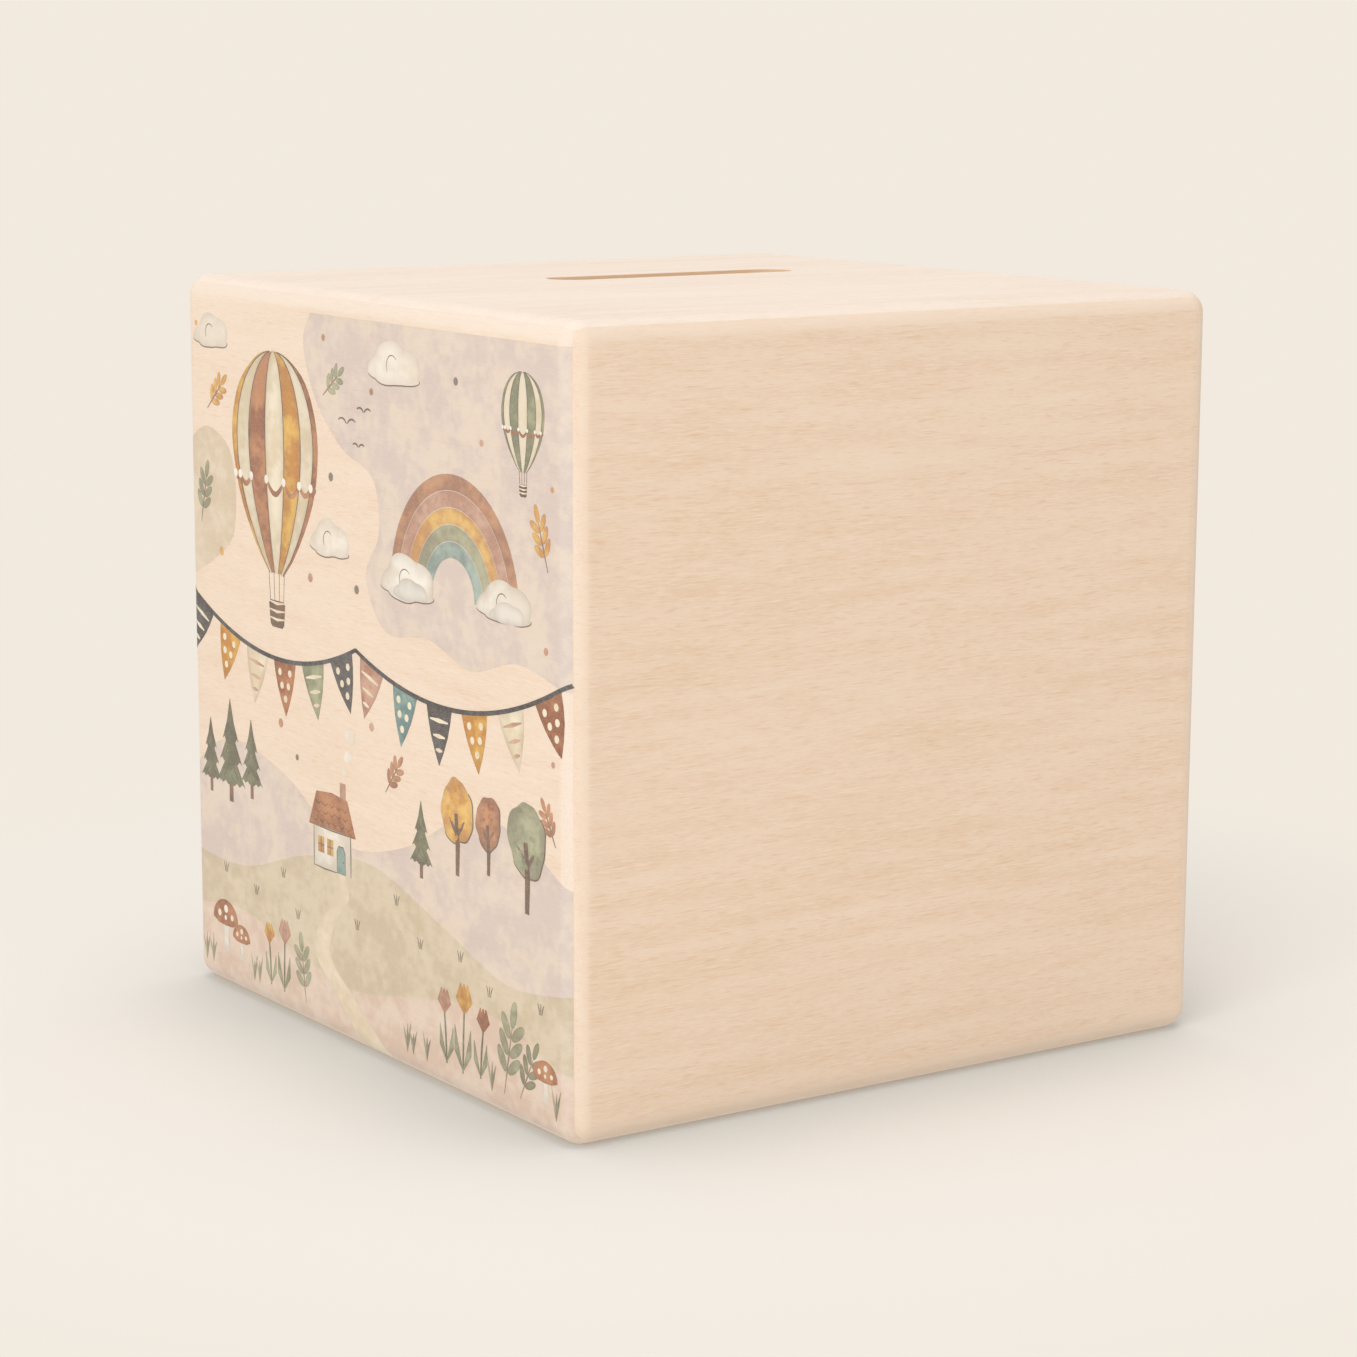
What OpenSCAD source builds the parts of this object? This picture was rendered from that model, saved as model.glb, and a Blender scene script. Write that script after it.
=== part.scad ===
// Wooden money box: six mitred boards glued into a cube, with a coin slot in the top
// and a soft stopper in the base. +Z is up, the front board faces -Y, and the origin
// is the middle of the underside. All sizes are in millimetres.

/* [Box] */
// Width of the box, from the left board's outer face to the right board's
box_w = 100; // [90:1:160]
// Depth of the box, from the front board's outer face to the back board's
box_d = 100; // [90:1:160]
// Height of the box
box_h = 100; // [60:1:160]
// Thickness of the top board
top_t = 7; // [5:0.5:10]
// Thickness of the four side boards
side_t = 7; // [5:0.5:10]
// Thickness of the base board
base_t = 7; // [5:0.5:10]
// Radius of the box's twelve edges and eight corners
edge_r = 3; // [1:0.5:4.5]

/* [Coin slot] */
// Length of the slot, which runs from front to back
slot_len = 40; // [30:1:50]
// Width of the slot
slot_w = 7; // [3:0.5:8]
// Distance of the slot from the middle of the top, to the left
slot_left = 14; // [0:0.5:20]
// Distance of the slot's middle from the middle of the top, to the back
slot_back = 7.5; // [0:0.5:12]
// Width of the bevel that breaks the edge round the slot's mouth
slot_bevel = 0.1; // [0.1:0.05:0.5]

/* [Emptying hole] */
// Diameter of the hole in the base
hole_d = 34; // [28:1:40]
// Width of the ledge round the hole that the stopper's flange covers
ledge_w = 3.5; // [2.5:0.5:5]

/* [Stopper] */
// Gap all round between the sealing ribs and the hole
plug_gap = 0.05; // [0.02:0.01:0.1]
// Gap all round between the flange and its recess
flange_gap = 0.6; // [0.3:0.1:1]
// Thickness of the flange
flange_t = 1.6; // [1.2:0.1:2.2]
// Distance that the flange lies in from the underside
flange_set = 0.6; // [0.3:0.1:1]
// Bevel round the flange's edge
flange_bevel = 0.4; // [0.2:0.1:0.6]
// Length of the plug that stands above the base board
plug_reach = 2.4; // [1.5:0.1:6]
// Bevel that leads the plug into the hole
plug_lead = 1; // [0.5:0.1:1.2]
// Height of one sealing rib, and of the groove beside it
rib_h = 1.2; // [0.8:0.1:1.5]
// Depth of the grooves between the ribs
rib_depth = 0.6; // [0.3:0.1:1]
// Thickness of the plug's wall behind the grooves
plug_wall = 2.4; // [1.5:0.1:3.5]
// Thickness of the plug's end over the finger dish
plug_skin = 1.6; // [1:0.1:2.5]
// Width of the pinch bar across the finger dish
bar_w = 3.6; // [2.5:0.1:5]
// Distance that the pinch bar stands back from the flange's underside
bar_set = 0.4; // [0.2:0.1:1]

/* [Hidden] */
$fn = 96;
over = 1;
top_wood = "#f7e7d8";
front_wood = "#f4dec7";
side_wood = "#ecd1b6";
dark_rubber = "#4a4643";

recess_depth = flange_set + flange_t;
recess_d = hole_d + 2 * ledge_w;
flange_r = recess_d / 2 - flange_gap;
plug_r = hole_d / 2 - plug_gap;
groove_r = plug_r - rib_depth;
dish_r = groove_r - plug_wall;
plug_top = base_t + plug_reach;
rib_count = floor((plug_top - plug_lead - recess_depth) / (2 * rib_h));

// Outline of the box seen along one axis, with a quarter round at each corner.
module round_rect(w, h) {
    square([w - 2 * edge_r, h], center = true);
    square([w, h - 2 * edge_r], center = true);
    for (x = [-1, 1], y = [-1, 1])
        translate([x * (w / 2 - edge_r), y * (h / 2 - edge_r)])
            circle(edge_r);
}

// The whole box as one closed form, which gives every board its rounded edges: one
// rounded bar along each axis, and a ball at each corner where the three bars end.
module outer_form() {
    translate([0, 0, edge_r])
        linear_extrude(box_h - 2 * edge_r)
            round_rect(box_w, box_d);
    translate([0, box_d / 2 - edge_r, box_h / 2])
        rotate([90, 0, 0])
            linear_extrude(box_d - 2 * edge_r)
                round_rect(box_w, box_h);
    translate([-box_w / 2 + edge_r, 0, box_h / 2])
        rotate([90, 0, 90])
            linear_extrude(box_w - 2 * edge_r)
                round_rect(box_d, box_h);
    for (x = [-1, 1], y = [-1, 1], z = [-1, 1])
        translate([
            x * (box_w / 2 - edge_r),
            y * (box_d / 2 - edge_r),
            box_h / 2 + z * (box_h / 2 - edge_r)
        ])
            sphere(edge_r);
}

// Section of a board of thickness t that lies on its outer face. Each side slopes
// along the mitre, in to the inner face of the neighbour there.
module mitre_section(w, t, low_t, high_t) {
    polygon([[-w / 2, 0], [w / 2, 0], [w / 2 - high_t, t], [-w / 2 + low_t, t]]);
}

// A board of w by d that lies on its outer face, with all four sides mitred. x_t and
// y_t are the thicknesses of the neighbours on its low and high side along X and Y.
module board(w, d, t, x_t, y_t) {
    intersection() {
        translate([0, d / 2, 0])
            rotate([90, 0, 0])
                linear_extrude(d)
                    mitre_section(w, t, x_t[0], x_t[1]);
        translate([-w / 2, 0, 0])
            rotate([90, 0, 90])
                linear_extrude(w)
                    mitre_section(d, t, y_t[0], y_t[1]);
    }
}

// The slot's outline, a straight run with a half round at each end.
module slot_outline() {
    square([slot_w, slot_len - slot_w], center = true);
    for (y = [-1, 1])
        translate([0, y * (slot_len - slot_w) / 2])
            circle(slot_w / 2);
}

// Everything that is cut out of the top board: the slot and the bevel round its mouth.
module slot_cut() {
    run = slot_len - slot_w;
    half = slot_w / 2;
    translate([-slot_left, slot_back, box_h]) {
        translate([0, 0, -top_t - over])
            linear_extrude(top_t + 2 * over)
                slot_outline();
        for (y = [-1, 1])
            translate([0, y * run / 2, -slot_bevel])
                cylinder(h = 2 * slot_bevel, r1 = half, r2 = half + 2 * slot_bevel);
        translate([0, run / 2, -slot_bevel])
            rotate([90, 0, 0])
                linear_extrude(run)
                    polygon([
                        [-half, 0], [half, 0],
                        [half + 2 * slot_bevel, 2 * slot_bevel],
                        [-half - 2 * slot_bevel, 2 * slot_bevel]
                    ]);
    }
}

module top_panel() {
    color(top_wood)
        difference() {
            intersection() {
                outer_form();
                translate([0, 0, box_h])
                    rotate([180, 0, 0])
                        board(box_w, box_d, top_t, [side_t, side_t], [side_t, side_t]);
            }
            slot_cut();
        }
}

module base_panel() {
    color(side_wood)
        difference() {
            intersection() {
                outer_form();
                board(box_w, box_d, base_t, [side_t, side_t], [side_t, side_t]);
            }
            translate([0, 0, -over])
                cylinder(h = base_t + 2 * over, d = hole_d);
            translate([0, 0, -over])
                cylinder(h = recess_depth + over, d = recess_d);
        }
}

module front_panel() {
    color(front_wood)
        intersection() {
            outer_form();
            translate([0, -box_d / 2, box_h / 2])
                rotate([-90, 0, 0])
                    board(box_w, box_h, side_t, [side_t, side_t], [top_t, base_t]);
        }
}

module back_panel() {
    color(front_wood)
        intersection() {
            outer_form();
            translate([0, box_d / 2, box_h / 2])
                rotate([90, 0, 0])
                    board(box_w, box_h, side_t, [side_t, side_t], [base_t, top_t]);
        }
}

module left_panel() {
    color(side_wood)
        intersection() {
            outer_form();
            translate([-box_w / 2, 0, box_h / 2])
                rotate([0, 90, 0])
                    board(box_h, box_d, side_t, [top_t, base_t], [side_t, side_t]);
        }
}

module right_panel() {
    color(side_wood)
        intersection() {
            outer_form();
            translate([box_w / 2, 0, box_h / 2])
                rotate([0, -90, 0])
                    board(box_h, box_d, side_t, [base_t, top_t], [side_t, side_t]);
        }
}

// Half section of the stopper: flange, grooved plug with its ribs, and leading bevel.
module stopper_section() {
    polygon(concat(
        [
            [0, flange_set],
            [flange_r - flange_bevel, flange_set],
            [flange_r, flange_set + flange_bevel],
            [flange_r, recess_depth],
            [groove_r, recess_depth]
        ],
        [
            for (i = [0 : rib_count - 1], step = [0 : 3])
                let (foot = recess_depth + (2 * i + 1) * rib_h)
                [
                    step == 0 || step == 3 ? groove_r : plug_r,
                    foot + rib_h * [0, 0.25, 0.75, 1][step]
                ]
        ],
        [
            [groove_r, plug_top - plug_lead],
            [groove_r - plug_lead, plug_top],
            [0, plug_top]
        ]
    ));
}

// Soft stopper with a finger dish in its underside and a pinch bar across the dish.
module stopper() {
    dish_top = plug_top - plug_skin;
    color(dark_rubber) {
        difference() {
            rotate_extrude()
                stopper_section();
            translate([0, 0, flange_set - over])
                cylinder(h = dish_top - flange_set + over, r = dish_r);
        }
        translate([-bar_w / 2, -dish_r - plug_wall / 2, flange_set + bar_set])
            cube([bar_w, 2 * dish_r + plug_wall, plug_top - plug_skin / 2 - flange_set - bar_set]);
    }
}

top_panel();
base_panel();
front_panel();
back_panel();
left_panel();
right_panel();
stopper();
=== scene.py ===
import math
import random

import bmesh
import bpy
from mathutils import Matrix, Vector
from mathutils.geometry import delaunay_2d_cdt


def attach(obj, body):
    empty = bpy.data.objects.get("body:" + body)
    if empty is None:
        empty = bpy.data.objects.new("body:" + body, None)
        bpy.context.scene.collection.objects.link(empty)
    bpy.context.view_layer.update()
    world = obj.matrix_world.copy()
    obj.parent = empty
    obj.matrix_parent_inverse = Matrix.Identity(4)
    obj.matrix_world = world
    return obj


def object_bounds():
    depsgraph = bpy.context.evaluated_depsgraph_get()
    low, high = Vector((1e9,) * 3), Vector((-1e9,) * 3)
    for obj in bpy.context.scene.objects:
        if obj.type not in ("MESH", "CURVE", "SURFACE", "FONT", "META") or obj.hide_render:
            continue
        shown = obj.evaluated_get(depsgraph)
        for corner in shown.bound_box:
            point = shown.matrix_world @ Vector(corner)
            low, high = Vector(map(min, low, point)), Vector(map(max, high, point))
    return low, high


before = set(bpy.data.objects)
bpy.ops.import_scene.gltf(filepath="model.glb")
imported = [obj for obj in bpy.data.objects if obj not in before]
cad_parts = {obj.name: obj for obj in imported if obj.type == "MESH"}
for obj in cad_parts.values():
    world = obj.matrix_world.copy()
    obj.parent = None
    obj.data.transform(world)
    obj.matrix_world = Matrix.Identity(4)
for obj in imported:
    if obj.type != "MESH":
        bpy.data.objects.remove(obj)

cad_low, cad_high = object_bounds()


# Camera and studio. The box stands on a pale cream table top in front of a backdrop of
# the same colour, under one wide overhead softbox, with a second softbox towards the
# printed face and an even fill from all round.

def linear(hex_colour):
    """An sRGB hex colour as the linear RGBA that a shader takes."""
    channels = [int(hex_colour[i:i + 2], 16) / 255 for i in (1, 3, 5)]
    return (*(c / 12.92 if c <= 0.04045 else ((c + 0.055) / 1.055) ** 2.4 for c in channels), 1.0)


def add(tree, kind, inputs=(), **settings):
    """Adds a node, sets its properties, and fills its sockets, by name or in their order.

    A socket takes a value, or a link from another socket or from a node's first output.
    """
    made = tree.nodes.new(kind)
    for name, value in settings.items():
        setattr(made, name, value)
    for socket, value in inputs.items() if isinstance(inputs, dict) else enumerate(inputs):
        if isinstance(value, bpy.types.Node):
            value = value.outputs[0]
        if isinstance(value, bpy.types.NodeSocket):
            tree.links.new(value, made.inputs[socket])
        else:
            made.inputs[socket].default_value = value
    return made


def empty_material(name):
    """A material with an empty node tree, and that tree."""
    material = bpy.data.materials.new(name)
    material.use_nodes = True
    material.node_tree.nodes.clear()
    return material, material.node_tree


FRAME_PIXELS = 1357
SENSOR_MM = 36.0
FOCAL_PIXELS = 3528.7
CAMERA_AZIMUTH = math.radians(55.715)
CAMERA_ELEVATION = math.radians(10.231)
CAMERA_ROLL = math.radians(0.185)
CAMERA_DISTANCE = 0.48478
AIM_RIGHT, AIM_UP = -0.00053, -0.00431

scene = bpy.context.scene
box_middle = (cad_low + cad_high) / 2
camera_right = Vector((math.cos(CAMERA_AZIMUTH), math.sin(CAMERA_AZIMUTH), 0))
camera_back = Vector((
    math.sin(CAMERA_AZIMUTH) * math.cos(CAMERA_ELEVATION),
    -math.cos(CAMERA_AZIMUTH) * math.cos(CAMERA_ELEVATION),
    math.sin(CAMERA_ELEVATION),
))
camera = bpy.data.objects.new("camera", bpy.data.cameras.new("camera"))
scene.collection.objects.link(camera)
camera.data.sensor_width = SENSOR_MM
camera.data.lens = FOCAL_PIXELS * SENSOR_MM / FRAME_PIXELS
camera.data.clip_start = 0.01
camera.rotation_mode = "QUATERNION"
level_up = camera_back.cross(camera_right)
rolled_right = camera_right * math.cos(CAMERA_ROLL) + level_up * math.sin(CAMERA_ROLL)
rolled_up = level_up * math.cos(CAMERA_ROLL) - camera_right * math.sin(CAMERA_ROLL)
camera.rotation_quaternion = Matrix((rolled_right, rolled_up, camera_back)).transposed().to_quaternion()
camera.location = box_middle + camera_back * CAMERA_DISTANCE + rolled_right * AIM_RIGHT + rolled_up * AIM_UP
scene.camera = camera

scene.view_settings.view_transform = "Standard"

CREAM = "#f2eadf"
TABLE_TOP = "#f3efe9"
# The table's painted contact shadow: a darker grey, mixed in where ambient occlusion finds the box close by.
TABLE_PAINTED_SHADOW = "#d9dbd8"
CONTACT_REACH, CONTACT_START, CONTACT_SHADE = 0.03, 0.35, 0.0
FADE_START, FADE_END = 0.062, 0.17
AMBIENT_LEVEL = 0.68
FOOTPRINT = (cad_high.x - cad_low.x) / 2 - 0.0005

world = bpy.data.worlds.new("studio_air")
scene.world = world
world.use_nodes = True
air = world.node_tree
air.nodes.clear()
ray = add(air, "ShaderNodeLightPath").outputs
seen = add(air, "ShaderNodeMath", (ray["Is Camera Ray"], ray["Is Glossy Ray"]), operation="MAXIMUM")
seen = add(air, "ShaderNodeMath", (seen, ray["Is Transmission Ray"]), operation="MAXIMUM")
fill = add(air, "ShaderNodeBackground", {"Color": linear("#ffffff"), "Strength": AMBIENT_LEVEL})
backdrop = add(air, "ShaderNodeBackground", {"Color": linear(CREAM), "Strength": 1.0})
either = add(air, "ShaderNodeMixShader", (seen, fill, backdrop))
add(air, "ShaderNodeOutputWorld", {"Surface": either})


def table_top_material():
    """Matt cream laminate near the box, which fades to the backdrop's colour further off. Round the box's
    foot a darker grey is mixed in where ambient occlusion finds the box close by: a painted contact shadow.

    Under the box it lets light through, so that the underside can be seen from below.
    """
    material, tree = empty_material("cream_table_top")
    place = add(tree, "ShaderNodeTexCoord").outputs["Object"]
    reach = add(tree, "ShaderNodeVectorMath", (place,), operation="LENGTH").outputs["Value"]
    far = add(tree, "ShaderNodeMapRange", {
        "Value": reach, "From Min": FADE_START, "From Max": FADE_END,
    }, interpolation_type="SMOOTHSTEP")
    # Painted contact shadow: the table's colour turns to the darker grey where the box hems it in.
    open_air = add(tree, "ShaderNodeAmbientOcclusion", {"Distance": CONTACT_REACH}, samples=8)
    shade = add(tree, "ShaderNodeMapRange", {
        "Value": open_air.outputs["AO"], "From Min": CONTACT_START, "To Min": CONTACT_SHADE,
    }, interpolation_type="SMOOTHSTEP")
    painted_shadow_tint = add(tree, "ShaderNodeMix", {
        "Factor": shade, "A": linear(TABLE_PAINTED_SHADOW), "B": linear(TABLE_TOP),
    }, data_type="RGBA").outputs["Result"]
    matt = add(tree, "ShaderNodeBsdfDiffuse", {"Color": painted_shadow_tint})
    haze = add(tree, "ShaderNodeEmission", {"Color": linear(CREAM)})
    ray = add(tree, "ShaderNodeLightPath").outputs["Is Camera Ray"]
    seen = add(tree, "ShaderNodeMath", (ray, far), operation="MULTIPLY")
    faded = add(tree, "ShaderNodeMixShader", (seen, matt, haze))

    x, y, _ = add(tree, "ShaderNodeSeparateXYZ", (place,)).outputs
    out_x = add(tree, "ShaderNodeMath", (x,), operation="ABSOLUTE")
    out_y = add(tree, "ShaderNodeMath", (y,), operation="ABSOLUTE")
    out = add(tree, "ShaderNodeMath", (out_x, out_y), operation="MAXIMUM")
    under = add(tree, "ShaderNodeMath", (out, FOOTPRINT), operation="LESS_THAN")
    unseen = add(tree, "ShaderNodeMath", (1.0, ray), operation="SUBTRACT")
    through = add(tree, "ShaderNodeMath", (under, unseen), operation="MULTIPLY")
    below = add(tree, "ShaderNodeNewGeometry").outputs["Backfacing"]
    opened = add(tree, "ShaderNodeMath", (below, through), operation="MAXIMUM")
    clear = add(tree, "ShaderNodeBsdfTransparent")
    top_only = add(tree, "ShaderNodeMixShader", (opened, faded, clear))
    add(tree, "ShaderNodeOutputMaterial", {"Surface": top_only})
    return material


def table_top():
    """A round table top a hair below the box."""
    radius, drop = 3.0, 0.00002
    mesh = bpy.data.meshes.new("table_top")
    shape = bmesh.new()
    bmesh.ops.create_circle(shape, cap_ends=True, segments=96, radius=radius)
    shape.to_mesh(mesh)
    shape.free()
    mesh.materials.append(table_top_material())
    floor = bpy.data.objects.new("table_top", mesh)
    floor.location.z = cad_low.z - drop
    scene.collection.objects.link(floor)


def softbox(name, place, size, watts):
    """A square area lamp at a place, turned to the box's middle."""
    lamp = bpy.data.lights.new(name, "AREA")
    lamp.size = size
    lamp.energy = watts
    softbox_object = bpy.data.objects.new(name, lamp)
    softbox_object.location = place
    softbox_object.rotation_mode = "QUATERNION"
    softbox_object.rotation_quaternion = (box_middle - Vector(place)).to_track_quat("-Z", "Y")
    scene.collection.objects.link(softbox_object)
    return softbox_object


table_top()

KEY_PLACE, KEY_SIZE, KEY_WATTS = (0.60, -0.95, 0.62), 0.8, 5.9
OVERHEAD_PLACE, OVERHEAD_SIZE, OVERHEAD_WATTS = (-0.1, 0.1, 1.3), 1.1, 3.4

# The key's glare is kept off the lacquer, as a polarising filter does.
key = softbox("key_softbox", KEY_PLACE, KEY_SIZE, KEY_WATTS)
key.visible_glossy = False
softbox("overhead_softbox", OVERHEAD_PLACE, OVERHEAD_SIZE, OVERHEAD_WATTS)


# Beech boards. Six boards of pale steamed beech, planed, mitred and glued into a cube,
# then rounded over, fine-sanded and sealed with a clear matt lacquer. Beech shows short
# tan ray flecks along the grain, faint growth rings, and rows of pores in its end grain.

BEECH = {
    "pale": "#f3dfcb", "mid": "#f0dac4", "dark": "#ebd2ba", "fleck": "#dcad80",
    "pore": "#c79a72", "glue": "#c9a27e", "sanded_highlight": "#f2decb",
}
SHARES = {"fleck": 0.34, "pore": 0.3, "glue": 0.2, "sanded_highlight": 0.5, "slot_shade": 0.7}

# The grain's sizes in millimetres: along it, across it and into the board. Real pores
# are under 0.1 mm wide, so the fibres and fine flecks are drawn as coarse as they need.
FLECK_SIZE = (2.6, 0.2, 0.3)
FINE_FLECK_SIZE = (1.5, 0.13, 0.2)
FIBRE_SIZE = (1.2, 0.09, 0.12)
STREAK_SIZE = (26.0, 2.2, 2.2)
CLOUD_SIZE = (30.0, 9.0, 9.0)
SWAY_SIZE, SWAY_MM = (70.0, 16.0, 16.0), 2.4
RING_MM, RING_LEAN = 1.3, 0.03
BOARD_STEP_MM = (137.0, 61.0, 23.0)
GLUE_LINE_MM = 0.07
FIBRE_RELIEF, FIBRE_STRENGTH = 0.00003, 0.3
LACQUER_IOR, SMOOTH_LACQUER, ROUGH_LACQUER = 1.5, 0.56, 0.7
TO_MM = (1000, 1000, 1000)

# The middle of the coin slot and how far its wall is from there, in metres.
SLOT_MIDDLE, SLOT_REACH = (-0.014, 0.0075), (0.0037, 0.0202)

# How much each pattern counts in the tone, and where on it the wood's shades lie.
WEIGHTS = {"cloud": 0.22, "streak": 0.4, "fibre": 0.38}
RING_WEIGHT, END_RING_WEIGHT, FLECK_RING = 0.008, 0.08, 0.02
RAMP = ((0.34, "pale"), (0.5, "mid"), (0.68, "dark"))

# Where each mark starts and where it is full, in its noise or in the surface's slope.
END_GRAIN = {"From Min": 0.2, "From Max": 0.75}
DASHES = {"From Min": 0.57, "From Max": 0.76}
FINE_DASHES = {"From Min": 0.56, "From Max": 0.78, "To Min": 0.0, "To Max": 0.75}
GLEAMS = {"From Min": 0.44, "From Max": 0.28, "To Min": 0.0, "To Max": 0.8}
PORES = {"From Min": 0.55, "From Max": 0.70}
GLUE = {"From Min": 0.3 * GLUE_LINE_MM, "From Max": GLUE_LINE_MM, "To Min": 1.0, "To Max": 0.0}
# The round-overs' paler tone, where the surface turns from the board's face, is partly the sanding's look
# and partly a painted highlight.
SANDED_HIGHLIGHT = {"From Min": 0.998, "From Max": 0.97}
PORE_DEPTH, STEEP = 1.5, 0.5


def grain_space(tree, axes, board_number):
    """Coordinates in millimetres as along the grain, across it, and into the board."""
    place = add(tree, "ShaderNodeTexCoord").outputs["Object"]
    split = add(tree, "ShaderNodeSeparateXYZ", (place,)).outputs
    turned = add(tree, "ShaderNodeCombineXYZ", [split["XYZ".index(axis)] for axis in axes])
    offset = tuple(step * board_number for step in BOARD_STEP_MM)
    return add(tree, "ShaderNodeVectorMath", (turned, TO_MM, offset), operation="MULTIPLY_ADD")


def grain_noise(tree, space, size, detail=2.0, roughness=0.5):
    """Noise whose features are as long, wide and deep as the size in millimetres."""
    fineness = tuple(1 / s for s in size)
    scaled = add(tree, "ShaderNodeVectorMath", (space, fineness), operation="MULTIPLY")
    return add(tree, "ShaderNodeTexNoise", {
        "Vector": scaled, "Scale": 1.0, "Detail": detail, "Roughness": roughness,
    })


def glue_line(tree):
    """One on the mitre joints, where a point is as far out along one axis as along another."""
    place = add(tree, "ShaderNodeTexCoord").outputs["Object"]
    to_middle = tuple(-1000 * c for c in box_middle)
    out = add(tree, "ShaderNodeVectorMath", (place, TO_MM, to_middle), operation="MULTIPLY_ADD")
    reach = add(tree, "ShaderNodeVectorMath", (out,), operation="ABSOLUTE")
    x, y, z = add(tree, "ShaderNodeSeparateXYZ", (reach,)).outputs
    most = add(tree, "ShaderNodeMath", (x, y), operation="MAXIMUM")
    most = add(tree, "ShaderNodeMath", (most, z), operation="MAXIMUM")
    least = add(tree, "ShaderNodeMath", (x, y), operation="MINIMUM")
    least = add(tree, "ShaderNodeMath", (least, z), operation="MINIMUM")
    total = add(tree, "ShaderNodeMath", (x, y), operation="ADD")
    total = add(tree, "ShaderNodeMath", (total, z), operation="ADD")
    outer = add(tree, "ShaderNodeMath", (most, least), operation="ADD")
    between = add(tree, "ShaderNodeMath", (total, outer), operation="SUBTRACT")
    apart = add(tree, "ShaderNodeMath", (most, between), operation="SUBTRACT")
    return add(tree, "ShaderNodeMapRange", {"Value": apart, **GLUE}, interpolation_type="SMOOTHSTEP")


def routed_wall(tree):
    """One on the coin slot's wall, where a darker warm tan is painted on as the shade inside the slot."""
    place = add(tree, "ShaderNodeTexCoord").outputs["Object"]
    split = add(tree, "ShaderNodeSeparateXYZ", (place,)).outputs
    inside = []
    for axis, middle, reach in zip("XY", SLOT_MIDDLE, SLOT_REACH):
        off = add(tree, "ShaderNodeMath", (split[axis], middle), operation="SUBTRACT")
        away = add(tree, "ShaderNodeMath", (off,), operation="ABSOLUTE")
        inside.append(add(tree, "ShaderNodeMath", (away, reach), operation="LESS_THAN"))
    normal = add(tree, "ShaderNodeNewGeometry").outputs["Normal"]
    upward = add(tree, "ShaderNodeSeparateXYZ", (normal,)).outputs["Z"]
    steep = add(tree, "ShaderNodeMath", (upward, STEEP), operation="LESS_THAN")
    around = add(tree, "ShaderNodeMath", inside, operation="MULTIPLY")
    return add(tree, "ShaderNodeMath", (around, steep), operation="MULTIPLY")


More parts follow.
